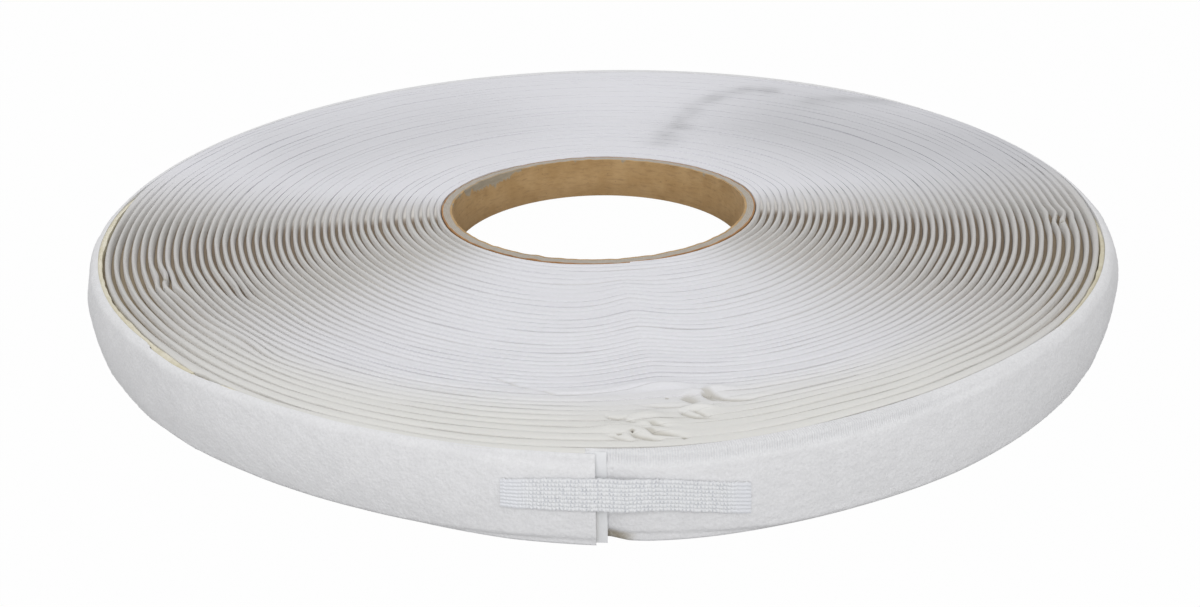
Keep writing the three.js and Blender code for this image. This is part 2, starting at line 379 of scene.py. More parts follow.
def rgb(red, green, blue):
    """Linear colour from the 0 to 255 values that a screen shows."""
    shares = (red / 255, green / 255, blue / 255)
    return (*(((share + 0.055) / 1.055) ** 2.4 for share in shares), 1)


# Light and floor

FLOOR_REACH = 3.0
FLOOR_CORNERS = 96
FLOOR_DROP = 0.2 * MM
FLOOR_GREY = (0.4, 0.4, 0.4, 1)
FLOOR_GLOW = 0.985
WHITE = (1, 1, 1, 1)
SKY_LIGHT = 0.55
SKY_SEEN = 1.0

# Name, place in metres, size in metres and power in watts
LAMPS = (
    ("overhead_softbox", (-0.1, 0.0, 1.7), 1.0, 0.6),
    ("front_softbox", (0.0, -1.02, 0.63), 0.9, 5.9),
    ("back_softbox", (-0.4, 1.2, 0.9), 0.8, 4.6),
)


def make_floor():
    """White to the camera, in reflections and behind clear things, and plain grey to all other light."""
    look = Look("pale_floor", 0.9)
    look.shader.inputs["Base Color"].default_value = FLOOR_GREY
    path = look.nodes.new("ShaderNodeLightPath").outputs
    either = look.maths("MAXIMUM", path["Is Camera Ray"], path["Is Glossy Ray"])
    either = look.maths("MAXIMUM", either, path["Is Transmission Ray"])
    glow = look.node("Emission", 0, {})
    seen = look.node("MixShader", 0, {0: look.times(either, FLOOR_GLOW), 1: look.shader.outputs[0], 2: glow})
    look.feed(look.nodes["Material Output"].inputs["Surface"], seen)
    mesh = bpy.data.meshes.new("floor")
    rim = np.linspace(0, TURN, FLOOR_CORNERS, endpoint=False)
    points = [(FLOOR_REACH * math.cos(a), FLOOR_REACH * math.sin(a), -FLOOR_DROP) for a in rim]
    mesh.from_pydata(points, [], [tuple(range(FLOOR_CORNERS))])
    mesh.materials.append(look.material)
    floor = bpy.data.objects.new("floor", mesh)
    bpy.context.scene.collection.objects.link(floor)


def make_world():
    world = bpy.data.worlds.new("studio")
    bpy.context.scene.world = world
    world.use_nodes = True
    nodes, links = world.node_tree.nodes, world.node_tree.links
    plain = nodes["Background"]
    seen = nodes.new("ShaderNodeBackground")
    for background, strength in ((plain, SKY_LIGHT), (seen, SKY_SEEN)):
        background.inputs["Color"].default_value = WHITE
        background.inputs["Strength"].default_value = strength
    path = nodes.new("ShaderNodeLightPath")
    mix = nodes.new("ShaderNodeMixShader")
    links.new(path.outputs["Is Camera Ray"], mix.inputs["Fac"])
    links.new(plain.outputs[0], mix.inputs[1])
    links.new(seen.outputs[0], mix.inputs[2])
    links.new(mix.outputs[0], nodes["World Output"].inputs["Surface"])


def make_lights():
    for name, place, size, power in LAMPS:
        data = bpy.data.lights.new(name, "AREA")
        data.shape = "DISK"
        data.size = size
        data.energy = power
        lamp = bpy.data.objects.new(name, data)
        bpy.context.scene.collection.objects.link(lamp)
        lamp.location = place
        lamp.rotation_euler = (-Vector(place)).to_track_quat("-Z", "Y").to_euler()


# Fields that shape the winding


def waves(x, y, length, seed, count=14):
    """Smooth random field with features of about that length and a spread of about 1."""
    random = np.random.default_rng(seed)
    total = np.zeros(np.broadcast(x, y).shape)
    for _ in range(count):
        heading = random.uniform(0, TURN)
        number = TURN / (length * random.uniform(0.7, 1.5))
        phase = random.uniform(0, TURN)
        total += np.sin(number * (x * math.cos(heading) + y * math.sin(heading)) + phase)
    return total * math.sqrt(2 / count)


def ripple(along, *ripples):
    """Unevenness along a line. Each ripple has a size, a length and a seed."""
    return sum(size * waves(along, 0 * along, length, seed) for size, length, seed in ripples)


WOUND_PITCH = (loose_start_radius - CORE_RADIUS - CORE_SEAT) / ((LOOSE_START - START_ANGLE) / TURN)

# Broad shifts of the turns at the front, first the dent where every turn passes over the step at the
# strip's start, then the swell on both sides of it: angle, spread, size, power of the fall, and the
# radii where it starts, is full, starts to fade and ends
BULGES = (
    (-84 * DEGREE, 7 * DEGREE, -5.2 * MM, 1.5, 44 * MM, 62 * MM, 97 * MM, 112 * MM),
    (-80 * DEGREE, 41 * DEGREE, 4.0 * MM, 3, 44 * MM, 68 * MM, 92 * MM, 115 * MM),
)

# The upper side of the winding is dished: the turns at the core end level with it
DISH_DEPTH = 3.5 * MM
DISH_AT_BACK = 1.4 * MM
DISH_FROM = 80 * MM
DISH_TO = 121 * MM

# The first turns lie tight on the core and climb over the strip's start in one short step
STEP_SHARE = 0.07
STEP_FADE_FROM = 44 * MM
STEP_FADE_TO = 60 * MM

# All turns but the outermost ones waver a little in plan
WAVER_SIZE = 0.05 * MM
WAVER_LENGTH = 24 * MM
WAVER_SEED = 3
WAVER_FADE = 112 * MM
WAVER_END = 118 * MM
# The turns take up the lean of the outermost one between these radii
LEAN_FROM = 70 * MM
LEAN_FULL = 119 * MM
# Rise and fall of the edges over the whole side
PLAN_RISE_SIZE = 0.05 * MM
PLAN_RISE_LENGTH = 30 * MM
PLAN_RISE_SEED = 10
# Sine of the angle where the side begins to count as the back
BACK_FROM = -0.3
# The edges of the outer turns are creamier at the front: radii, then distances towards the front
CREAMY_FROM = 98 * MM
CREAMY_FULL = 116 * MM
CREAMY_BEHIND = -20 * MM
CREAMY_AHEAD = 90 * MM

# Patch at the front where the grooves are squeezed shut, in plan
PATCH_X = 11 * MM
PATCH_Y = -111 * MM
PATCH_HALF_LENGTH = 17 * MM
PATCH_HALF_WIDTH = 12 * MM

# Creases where turns are squeezed together at the front, in plan about the core's axis, in millimetres:
# half width and depth, then the places that each one passes
CREASES = (
    (0.38, 0.55, ((16.9, -102.3), (19.4, -105.5), (21.8, -107.8), (24.1, -108.0), (29.0, -107.6))),
    (0.40, 0.60, ((17.4, -104.1), (19.4, -107.6), (21.8, -108.2))),
    (0.30, 0.40, ((6.5, -109.3), (9.9, -110.1), (13.4, -110.3), (16.4, -109.8), (19.2, -109.2))),
    (0.90, 0.45, ((13.5, -106.0), (15.0, -106.9), (16.6, -109.2))),
    (0.35, 0.55, ((13.3, -111.2), (13.7, -113.1), (15.8, -114.3), (19.9, -114.5))),
    (0.30, 0.45, ((15.2, -111.3), (16.3, -112.5), (17.4, -113.3), (18.6, -113.7))),
    (0.28, 0.60, ((0.6, -113.3), (1.2, -114.3), (2.5, -114.8), (3.7, -114.4), (4.4, -113.3))),
    (0.26, 0.45, ((3.7, -114.9), (4.9, -116.0), (6.1, -115.2))),
    (0.35, 0.45, ((7.4, -115.4), (8.7, -117.2), (11.6, -118.6))),
    (0.35, 0.55, ((6.2, -117.4), (8.5, -119.8), (14.1, -120.6))),
    (0.35, 0.55, ((4.2, -119.0), (5.3, -120.6), (7.9, -121.6), (10.2, -121.8))),
    (0.28, 0.35, ((0.6, -120.0), (2.7, -121.2), (5.4, -122.2))),
    (0.30, 0.30, ((-22.9, -93.9), (-15.0, -100.2), (-7.6, -104.2), (3.2, -103.6))),
)
# A crease and the shade painted along it fall off softly on the left side, which faces the core, and sharply
# on the other
CREASE_SLOPE = 1.6
# Small dark holes: place and radius
SPECKS = (
    (4.8, -118.7, 0.35),
    (2.6, -119.7, 0.3),
    (13.3, -121.0, 0.35),
    (11.4, -106.4, 0.3),
    (110.6, -23.6, 0.6),
    (109.6, -28.0, 0.5),
    (-96.9, -51.2, 0.6),
)

# Soft raised places between the creases: place, half length, half width and height
BUMPS = (
    (10.5, -100.6, 6.5, 1.6, 0.5),
    (20.0, -103.5, 3.5, 1.1, 0.45),
    (16.8, -110.6, 3.0, 0.8, 0.45),
    (7.6, -113.4, 2.6, 1.1, 0.4),
    (9.6, -116.0, 3.2, 1.2, 0.4),
    (8.6, -118.6, 3.2, 0.9, 0.4),
    (2.0, -117.4, 3.0, 1.6, 0.3),
)

# Single kinks on the flanks: angle, radius, half length along the turn, sideways step, reach across turns
KINKS = (
    (-12.5 * DEGREE, 112.8 * MM, 3.4 * MM, 0.75 * MM, 2.4 * MM),
    (-152.2 * DEGREE, 109.4 * MM, 4 * MM, 0.7 * MM, 2.0 * MM),
    (-128.3 * DEGREE, 108.5 * MM, 7 * MM, 0.7 * MM, 2.6 * MM),
    (-146 * DEGREE, 96 * MM, 6 * MM, 0.5 * MM, 2.2 * MM),
    (5.2 * DEGREE, 51 * MM, 5 * MM, 0.5 * MM, 2.5 * MM),
)

# How much deeper the creases and higher the bumps are than in their lists
CREASE_DEEPENED = 1.4
BUMP_RAISED = 1.9
# Depth at which the shade painted in a crease is full
CREASE_SHADE_FULL_DEPTH = 0.46
SPECK_DEPTH = 0.6
SPECK_DARKNESS = 2.5
# Farther than any place on the roll, in millimetres
FAR_AWAY = 1e3


def plain_radius(angle):
    """Inner face of each turn before anything disturbs it."""
    wound = CORE_RADIUS + CORE_SEAT + WOUND_PITCH * (angle - START_ANGLE) / TURN
    return np.where(angle < LOOSE_START, wound, loose_radius(angle)) + bow(angle)


def disturbance(angle, radius):
    """Radial shift of a turn by the dent, the swell, the kinks and the step on the core."""
    x = radius * np.cos(angle)
    y = radius * np.sin(angle)
    laps = (angle - START_ANGLE) / TURN
    climbed = np.where(laps < 1, 0, np.floor(laps) - 1 + smooth(laps - np.floor(laps), 0, STEP_SHARE))
    tight = 1 - smooth(radius, STEP_FADE_FROM, STEP_FADE_TO)
    shift = WOUND_PITCH * (climbed - laps) * tight
    for middle, spread, size, power, rise_from, full, fade_from, end in BULGES:
        growth = smooth(radius, rise_from, full) * (1 - smooth(radius, fade_from, end))
        shift = shift + size * growth * np.exp(-((np.abs(wrapped(angle - middle)) / spread) ** power))
    for kink_angle, kink_radius, half_length, step, reach in KINKS:
        across = radius - kink_radius
        along = wrapped(angle - kink_angle) * radius
        share = along / half_length
        shift += step * share * np.exp(0.5 - 0.5 * share**2) * bell(across, reach)
    loose = 1 - smooth(radius, WAVER_FADE, WAVER_END)
    shift += WAVER_SIZE * waves(x, y, WAVER_LENGTH, WAVER_SEED) * loose
    return shift + inner_lean(angle) * smooth(radius, LEAN_FROM, LEAN_FULL)


def turn_radius(angle):
    radius = plain_radius(angle)
    return radius + disturbance(angle, radius)


def top_height(angle, radius):
    depth = DISH_DEPTH + DISH_AT_BACK * smooth(np.sin(angle), BACK_FROM, 1)
    return TAPE_WIDTH - depth * (1 - smooth(radius, DISH_FROM, DISH_TO))


def place_on_line(x, y, places):
    """Distance in plan to the line through the places, whether it is on the line's left side, and the
    share of the line's length that is passed there. All lengths are in millimetres."""
    nearest = np.full(np.broadcast(x, y).shape, FAR_AWAY)
    left = np.zeros_like(nearest)
    passed = np.zeros_like(nearest)
    length_before = 0
    for (from_x, from_y), (to_x, to_y) in zip(places[:-1], places[1:]):
        step_x = to_x - from_x
        step_y = to_y - from_y
        length = math.hypot(step_x, step_y)
        share = np.clip(((x - from_x) * step_x + (y - from_y) * step_y) / length**2, 0, 1)
        off_x = x - from_x - share * step_x
        off_y = y - from_y - share * step_y
        distance = np.hypot(off_x, off_y)
        closer = distance < nearest
        nearest = np.where(closer, distance, nearest)
        left = np.where(closer, step_x * off_y > step_y * off_x, left)
        passed = np.where(closer, length_before + share * length, passed)
        length_before += length
    return nearest, left, passed / length_before


def squeezed(x, y):
    """Share of the patch at the front where the grooves are squeezed shut."""
    away = np.hypot((x - PATCH_X) / PATCH_HALF_LENGTH, (y - PATCH_Y) / PATCH_HALF_WIDTH)
    return 1 - smooth(away, 0.55, 1.15)


def crumple(x, y):
    """Height of the creases, bumps and specks, and the shade painted in the creases with the darkness of the
    specks, from the place in plan.
    """
    x, y = x / MM, y / MM
    height = np.zeros(np.broadcast(x, y).shape)
    dark = np.zeros_like(height)
    for half_width, depth, places in CREASES:
        distance, left, passed = place_on_line(x, y, places)
        near = bell(distance, half_width * (0.8 + CREASE_SLOPE * left))
        near = near * smooth(passed, -0.1, 0.25) * (1 - smooth(passed, 0.5, 1.1))
        height -= CREASE_DEEPENED * depth * near
        dark = np.maximum(dark, near * depth / CREASE_SHADE_FULL_DEPTH)
    for bump_x, bump_y, half_length, half_width, rise in BUMPS:
        near = bell((x - bump_x) / half_length, 1) * bell((y - bump_y) / half_width, 1)
        height += BUMP_RAISED * rise * near
    for speck_x, speck_y, speck_radius in SPECKS:
        near = bell(np.hypot(x - speck_x, y - speck_y), speck_radius)
        height -= SPECK_DEPTH * near
        dark = np.maximum(dark, SPECK_DARKNESS * near)
    return height * MM, dark


# Meshes


def make_mesh(name, points, faces, look, attributes, crease, outward=False):
    """Object whose point attributes drive its look. Its faces are turned outward where asked."""
    mesh = bpy.data.meshes.new(name)
    mesh.from_pydata(points, [], faces)
    mesh.materials.append(look)
    for key, values in attributes.items():
        values = np.asarray(values, np.float32)
        flat = values.size == len(points)
        layer = mesh.attributes.new(key, "FLOAT" if flat else "FLOAT_VECTOR", "POINT")
        layer.data.foreach_set("value" if flat else "vector", values.ravel())
    if outward:
        shell = bmesh.new()
        shell.from_mesh(mesh)
        bmesh.ops.recalc_face_normals(shell, faces=shell.faces)
        shell.to_mesh(mesh)
        shell.free()
    mesh.polygons.foreach_set("use_smooth", np.ones(len(mesh.polygons), bool))
    mesh.set_sharp_from_angle(angle=crease * DEGREE)
    mesh.validate()
    made = bpy.data.objects.new(name, mesh)
    bpy.context.scene.collection.objects.link(made)
    return made


def placed(angle, radius, height):
    x = AXIS_X + radius * np.cos(angle)
    y = AXIS_Y + radius * np.sin(angle)
    return np.stack([x, y, np.broadcast_to(height, x.shape)], -1)


def section_points(angle, out, height):
    """Points of the sections in one list, section by section."""
    return placed(np.broadcast_to(angle[:, None], out.shape), out, height).reshape(-1, 3)


def tube_faces(stations, around, closed=False):
    """Quads between the rings of a closed section. The last ring joins the first where closed."""
    ring = np.arange(around)
    following = (ring + 1) % around
    station = np.arange(stations if closed else stations - 1)[:, None]
    here = station * around
    there = (station + 1) % stations * around
    return np.stack([here + ring, here + following, there + following, there + ring], -1).reshape(-1, 4)


def turned_outward(points, faces):
    """The same quads, with their corners in the order that makes them face outward."""
    corners = points[faces]
    normal = np.cross(corners[:, 2] - corners[:, 0], corners[:, 3] - corners[:, 1])
    inside_out = (corners.mean(1) * normal).sum() < 0
    return faces[:, ::-1] if inside_out else faces


def ribbon(name, angle, out, height, look, attributes, crease):
    """Closed ribbon whose section at each angle has the given radii and heights. Both are arrays of
    stations by section points, in order round the section, and the end sections are capped."""
    stations, around = out.shape
    points = section_points(angle, out, height)
    caps = []
    for start in (0, (stations - 1) * around):
        for step in range((around - 2) // 2):
            far = start + around - 2 - step
            corners = [start + step, start + step + 1, far, far + 1]
            caps.append(corners if start == 0 else corners[::-1])
    faces = turned_outward(points, np.vstack([tube_faces(stations, around), caps]))
    return make_mesh(name, points, faces, look, attributes, crease)


def stations_between(start, end, step_at):
    """Angles from start to end, each step as long as step_at says for its angle and radius."""
    angles = [start]
    while angles[-1] < end:
        angle = angles[-1]
        radius = float(plain_radius(np.array(angle)))
        angles.append(angle + step_at(angle, radius) / radius)
    angles = np.array(angles)
    return start + (angles - start) * (end - start) / (angles[-1] - start)


def even_angles(start, end, step, radius):
    count = int(math.ceil((end - start) * radius / step)) + 1
    return np.linspace(start, end, count)


def length_along(angle, radius):
    """Length along the strip at each angle, in metres."""
    return np.cumsum(np.concatenate([[0], np.diff(angle) * radius[1:]]))


def strip_attributes(angle, out, height, edge_depth, **more):
    """Place on the unrolled strip in metres, and depth below the nearer edge in millimetres."""
    along = length_along(angle, out[:, 0])[:, None]
    strip = np.stack(np.broadcast_arrays(along, height, out - out[:, :1]), -1)
    made = {"strip": strip, "depth": edge_depth / MM}
    for key, values in more.items():
        made[key] = np.broadcast_to(values, out.shape)
    return made


# The wound turns: each ends in a soft rounded edge, with a narrow crevice between it and the next

RIDGE_WIDTH = 0.93 * MM
RIDGE_SHARES = np.array([0.0, 0.07, 0.17, 0.29, 0.4, 0.5, 0.6, 0.71, 0.83, 0.93, 1.0])
LOWER_SHARES = np.array([1.0, 0.5, 0.0])
RIDGE_DEPTH = 0.45 * MM
RIDGE_ROUNDNESS = 2.2
PRESSED_DEPTH = 0.13 * MM
GROOVE_DEPTH = 1.9 * MM
PRESSED_GROOVE = 0.55 * MM
PRESSED_GAP = 0.34 * MM
LEAST_GAP = 0.12 * MM
SHUT_GAP = 0.2 * MM
TURN_CLEARANCE = 0.05 * MM
BESIDE_CREAM = 0.25 * MM
END_LINE_DEPTH = 0.7 * MM
END_LINE_PAINTED_SHADE = 2.5 * MM
HIGHEST_RISE = 0.25 * MM
HIGHEST_FOLD = 0.4 * MM
FOOT_TONE_DEPTH = 0.3 * MM
UNDER_END = LOOSE_START + 37 * DEGREE
TURNS_SPLIT = START_ANGLE + 25 * TURN
OWN_END_FROM = LOOSE_START - TURN + 34 * DEGREE
OWN_END_FULL = LOOSE_START - TURN + 40 * DEGREE
PLAIN_STEP = 3.2 * MM
MIDDLE_STEP = 1.6 * MM
FINE_STEP = 0.8 * MM
FINE_ARC = (-106 * DEGREE, -62 * DEGREE)
FINE_RADIUS = 92 * MM
CREASE_STEP = 0.4 * MM
CREASE_ARC = (-92 * DEGREE, -74 * DEGREE)
CREASE_RADIUS = 98 * MM
KINK_REACHES = 2.5

# Unevenness along the strip: size, length and seed
WIDTH_RIPPLE = (0.04, 70 * MM, 5)
CREST_RIPPLE = (0.05, 12 * MM, 6)
LEAN_RIPPLE = (0.035 * MM, 38 * MM, 7)
GAP_RIPPLE = (0.25, 33 * MM, 8)
RISE_RIPPLE = (0.05 * MM, 60 * MM, 9)
DEPTH_RIPPLE = (0.3, 26 * MM, 12)

# Grey marks across the edges at the back, in plan in millimetres: half width and strength, then the places
SMUDGES = (
    (4.6, 0.22, ((19.5, 53.0), (22.5, 60.0), (25.5, 68.0))),
    (3.2, 0.22, ((25.5, 68.0), (28.0, 78.0), (33.0, 87.0), (41.7, 93.5), (52.0, 95.6), (58.0, 93.5))),
    (3.6, 0.17, ((70.0, 81.0), (78.0, 80.5), (86.0, 79.0), (93.0, 74.5))),
)
# Broad painted shade across the edges at the back, in the same form
BROAD_PAINTED_SHADE = (
    (30.0, 0.33, ((62.0, 66.0), (80.0, 48.0), (108.0, 26.0))),
    (30.0, 0.17, ((-45.0, 75.0), (-85.0, 50.0))),
)
# Patchiness of the marks, in millimetres
PATCHY_LENGTH = 11
PATCHY_SEED = 11


def wound_step(angle, radius):
    around = float(wrapped(angle))
    if CREASE_ARC[0] < around < CREASE_ARC[1] and radius > CREASE_RADIUS:
        return CREASE_STEP
    if FINE_ARC[0] < around < FINE_ARC[1]:
        return FINE_STEP if radius > FINE_RADIUS else MIDDLE_STEP
    for kink_angle, kink_radius, half_length, _, reach in KINKS:
        near = abs(float(wrapped(angle - kink_angle))) * radius < KINK_REACHES * half_length
        if near and abs(radius - kink_radius) < KINK_REACHES * reach:
            return FINE_STEP
    return PLAIN_STEP


def ridge_section(width, crest, round_depth):
    """Distance out and depth of the points across a soft edge, for each station."""
    share = RIDGE_SHARES[None, :]
    before = np.clip((crest[:, None] - share) / crest[:, None], 0, 1)
    after = np.clip((share - crest[:, None]) / (1 - crest[:, None]), 0, 1)
    fall = round_depth[:, None] * before**RIDGE_ROUNDNESS + round_depth[:, None] * after**RIDGE_ROUNDNESS
    return width[:, None] * share, fall


def smudge_at(x, y):
    """Share of the grey marks on the edges at the back, with broad painted shade added."""
    x, y = x / MM, y / MM
    marked = np.zeros(np.broadcast(x, y).shape)
    for half_width, strength, places in SMUDGES:
        marked = np.maximum(marked, strength * bell(place_on_line(x, y, places)[0], half_width))
    marked = marked * np.clip(1 + 0.25 * waves(x, y, PATCHY_LENGTH, PATCHY_SEED), 0.4, 1.6)
    for half_width, strength, places in BROAD_PAINTED_SHADE:
        marked = marked + strength * bell(place_on_line(x, y, places)[0], half_width)
    return marked


def make_wound_turns(name, start, end, look):
    angle = stations_between(start, end, wound_step)
    radius = turn_radius(angle)
    spacing = np.where(angle < LOOSE_START, turn_radius(angle + TURN) - radius, WOUND_PITCH)
    x = radius * np.cos(angle)
    y = radius * np.sin(angle)
    along = length_along(angle, radius)

    # Where the edges are pressed flat, and how far
    patch = squeezed(x, y)
    at_back = smooth(np.sin(angle), -0.2, 0.24)
    level = np.maximum(0.85 * at_back, 0.7 * patch)
    pressed = np.maximum(np.maximum(smooth(-np.sin(angle), 0.56, 0.95), at_back), patch)

    # Width of each edge: the last turn's is shut to the outermost turn but for the adhesive that shows
    width = RIDGE_WIDTH * (1 + ripple(along, WIDTH_RIPPLE)) + np.clip(spacing - 1.08 * WOUND_PITCH, 0, None)
    last = smooth(angle, LOOSE_START - 1.1 * TURN, LOOSE_START - TURN)
    width = width - BESIDE_CREAM * last * cream_share(angle)
    under_end = smooth(angle, LOOSE_START, LOOSE_START + 4 * DEGREE)
    closed = np.maximum(last * (1 - cream_share(angle)) * (1 - under_end), 0.45 * under_end)
    width = width + (spacing - SHUT_GAP - width) * closed
    closed_width = spacing - PRESSED_GAP * (1 + ripple(along, GAP_RIPPLE)) * (1 - level)
    width = width + (closed_width - width) * pressed
    width = np.minimum(width, spacing - LEAST_GAP)

    # The soft edge on top
    crest = np.clip(0.5 + ripple(along, CREST_RIPPLE), 0.2, 0.8)
    round_depth = RIDGE_DEPTH + (PRESSED_DEPTH - RIDGE_DEPTH) * pressed
    round_depth = round_depth * (1 + ripple(along, DEPTH_RIPPLE) * pressed) * (1 - level)
    top_out, top_fall = ridge_section(width, crest, round_depth)
    lean_out = ripple(along, LEAN_RIPPLE)[:, None]
    rise = ripple(along, RISE_RIPPLE) + PLAN_RISE_SIZE * waves(x, y, PLAN_RISE_LENGTH, PLAN_RISE_SEED)
    rise = np.minimum(rise, HIGHEST_RISE)[:, None]

    # The groove beside it, and the thin dark line next to the outermost turn: a deeper groove with painted
    # shade on its wall
    groove_depth = GROOVE_DEPTH + (PRESSED_GROOVE - GROOVE_DEPTH) * pressed
    own_end = smooth(angle, OWN_END_FROM, OWN_END_FULL)
    line = own_end * (1 - under_end) * smooth(-np.sin(angle), 0.8, 0.93)
    deep = (groove_depth * (1 - level) + END_LINE_DEPTH * line)[:, None] + np.zeros((1, 2))
    groove = (spacing - width)[:, None]
    crevice = np.hstack([width[:, None] + groove * 0.12, (spacing - TURN_CLEARANCE)[:, None]])

    base = radius[:, None]
    lower = base + width[:, None] * LOWER_SHARES
    top = top_height(angle[:, None], base + top_out) + rise
    beside = top_height(angle[:, None], base + crevice) + rise
    out = np.hstack([base + top_out + lean_out, base + crevice, lower])
    upper = out[:, : len(RIDGE_SHARES) + 2]
    # dark holds the shade painted in the creases and the darkness of the specks
    bent, dark = crumple(upper * np.cos(angle)[:, None], upper * np.sin(angle)[:, None])
    height = np.minimum(np.hstack([top - top_fall, beside - deep]) + bent, TAPE_WIDTH + HIGHEST_FOLD)
    height = np.hstack([height, 0 * lower])

    # The depth that colours the walls is raised along that line, which paints shade on them; under the free
    # end the walls are left white
    walls = (deep + END_LINE_PAINTED_SHADE * line[:, None]) * (1 - under_end[:, None])
    edge_depth = np.hstack([top_fall, walls, 0 * lower + FOOT_TONE_DEPTH])
    # The pressed share also sets the look: edges that are not pressed, on the flanks, get painted shade
    pale = np.hstack([np.broadcast_to(pressed[:, None], upper.shape), 0 * lower])
    creamy = smooth(radius, CREAMY_FROM, CREAMY_FULL) * smooth(-y, CREAMY_BEHIND, CREAMY_AHEAD)
    attributes = strip_attributes(
        angle,
        out,
        height,
        edge_depth,
        cream=creamy[:, None],
        smudge=smudge_at(x, y)[:, None],
        crease=np.hstack([dark, 0 * lower]),
        pressed=pale,
        calm=at_back[:, None],
    )
    return ribbon(name, angle, out, height, look, attributes, crease=70)


# The outermost turn and the free end, whose pile is not pressed down

BAND_STEP = 0.7 * MM
BAND_ROWS = 36
BAND_SPLIT = WHOLE_TURNS * TURN - TURN * 0.75
BACK_SHARES = np.array([1, 0.94, 0.8, 0.6, 0.4, 0.2, 0.05, 0])
BORDER_RECESS = 0.45 * MM
BORDER_SOFTNESS = 0.7 * MM
EDGE_ROUNDING = 0.35 * MM
EDGE_SET_BACK = 0.2 * MM
# Share of the rows that crowd towards both edges, and how far the back starts below the upper edge
CROWDED = 0.45
BACK_LOWER = 0.03 * MM
ROLLED_WIDTH = 2.2 * MM
HALF_EXTRA_WIDTH = 0.25 * MM
LEAST_THICKNESS = 0.3 * MM
BACK_TONE_DEPTH = 2 * MM
SHADE_FULL = 1.3 * MM
SHADE_END = 2.0 * MM
SUNK_UNDER_END = 1.4 * MM
# Width of the flat woven borders, and what is added to it next to the free end's edge
HIGH_BORDER = 0.4 * MM
HIGH_BORDER_MORE = 1.2 * MM
LOW_BORDER = 0.3 * MM
LOW_BORDER_MORE = 1.5 * MM
TAIL_BORDER = 0.3 * MM
TAIL_LOW_MORE = 1.0 * MM
TAIL_HIGH_MORE = 1.2 * MM
# How far the upper edge rolls inward
ROLLED_IN = 0.3 * MM
TAIL_ROLLED_IN = 0.4 * MM
CREAM_OUTSIDE = 0.6 * MM
CREAM_INSIDE = 0.75 * MM
CREAM_DROP = 0.06 * MM

# Unevenness of the pile: size, length, and what is added to the piece's seed
PILE_LUMPS = (
    (0.025 * MM, 2.4 * MM, 0),
    (0.018 * MM, 1.2 * MM, 1),
)
PILE_SWELL = (0.06 * MM, 16 * MM, 2)
OUTER_TURN_SEED = 21
FREE_END_SEED = 22

# Where the adhesive inside the outermost turn shows: degrees to the right of the free end, share
CREAM_SHOWN = (
    (-180, 0.0),
    (-97, 0.0),
    (-86, 0.7),
    (-78, 1.0),
    (-44, 1.0),
    (-36, 0.6),
    (-30, 0.2),
    (-18, 0.0),
    (42, 0.0),
    (49, 0.45),
    (60, 0.65),
    (70, 0.65),
    (76, 0.3),
    (81, 0.0),
    (180, 0.0),
)
# Left of this place the pile reaches in over part of it, and stops at a torn step
NOTCH = -45.8
NOTCH_COVER = 0.6


def past_end(angle):
    """Degrees to the right of the free end."""
    return np.asarray(wrapped(angle - END_ANGLE)) / DEGREE


def pile_height(z, low_border, high_border):
    """Height of the pile as a share of its full height, between the flat woven borders."""
    before = BORDER_SOFTNESS * 0.4
    low = smooth(z, low_border[:, None] - before, low_border[:, None] + BORDER_SOFTNESS)
    high = smooth(TAPE_WIDTH - z, high_border[:, None] - before, high_border[:, None] + BORDER_SOFTNESS)
    return low * high


def cream_share(angle):
    degrees, shares = np.array(CREAM_SHOWN).T
    return np.interp(past_end(angle), degrees, shares)


def cream_open(angle):
    """Share of the adhesive's outer part that the pile leaves open."""
    degrees = past_end(angle)
    covered = NOTCH_COVER * smooth(degrees, NOTCH - 22, NOTCH - 1) * (degrees < NOTCH)
    return cream_share(angle) * (1 - covered)


def make_band(name, angle, face, inner, room, borders, table, rolled, sunk, marks, look, seed):
    """Closed ribbon with the pile outside and a plain back inside."""
    even = np.linspace(0, 1, BAND_ROWS)
    share = (CROWDED * (0.5 - 0.5 * np.cos(np.pi * even)) + (1 - CROWDED) * even)[None, :]
    z = share * TAPE_WIDTH + np.zeros((len(angle), 1))
    pile = pile_height(z, *borders)
    along = length_along(angle, face)[:, None]
    lumps = sum(size * waves(along, z, length, seed + more) for size, length, more in PILE_LUMPS)
    size, length, more = PILE_SWELL
    swell = size * waves(along, z, length, seed + more)
    front = face[:, None] + lean(angle[:, None], share, table) - BORDER_RECESS * (1 - pile)
    front = front + (lumps + swell) * pile
    away = np.clip(1 - np.minimum(z, TAPE_WIDTH - z) / EDGE_ROUNDING, 0, 1)
    front = front - EDGE_SET_BACK * (1 - np.sqrt(1 - away**2))
    over = np.clip(1 - (TAPE_WIDTH - z) / ROLLED_WIDTH, 0, 1)
    front = front - rolled[:, None] * (1 - np.sqrt(1 - over**2))
    height = z + (HALF_EXTRA_WIDTH * rolled[:, None] / MM - sunk[:, None]) * smooth(over, 0, 1)

    back_share = BACK_SHARES[None, :]
    back = inner(back_share)
    back = back + (CREAM_OUTSIDE * cream_open(angle) * room)[:, None] * smooth(back_share, 0.7, 0.9)
    edge = front[:, [-1]] - LEAST_THICKNESS
    back = np.minimum(back, np.where(back_share > 0.9, edge, back))
    back_height = back_share * TAPE_WIDTH + np.zeros((len(angle), 1))
    back_height[:, 0] = height[:, -1] - BACK_LOWER
    back_height[:, 1] = np.minimum(back_height[:, 1], height[:, -1] - LEAST_THICKNESS)
    hatch, end_shade = marks
    shade = end_shade[:, None] * (1 - smooth(z, SHADE_FULL, SHADE_END))
    out = np.hstack([front, back])
    both = np.hstack([height, back_height])
    depth = np.hstack([0 * z, np.full(back.shape, BACK_TONE_DEPTH)])
    pile = np.hstack([pile, 0 * back])
    shade = np.hstack([shade, 0 * back])
    attributes = strip_attributes(angle, out, both, depth, pile=pile, hatch=hatch[:, None], shade=shade)
    return ribbon(name, angle, out, both, look, attributes, crease=60)


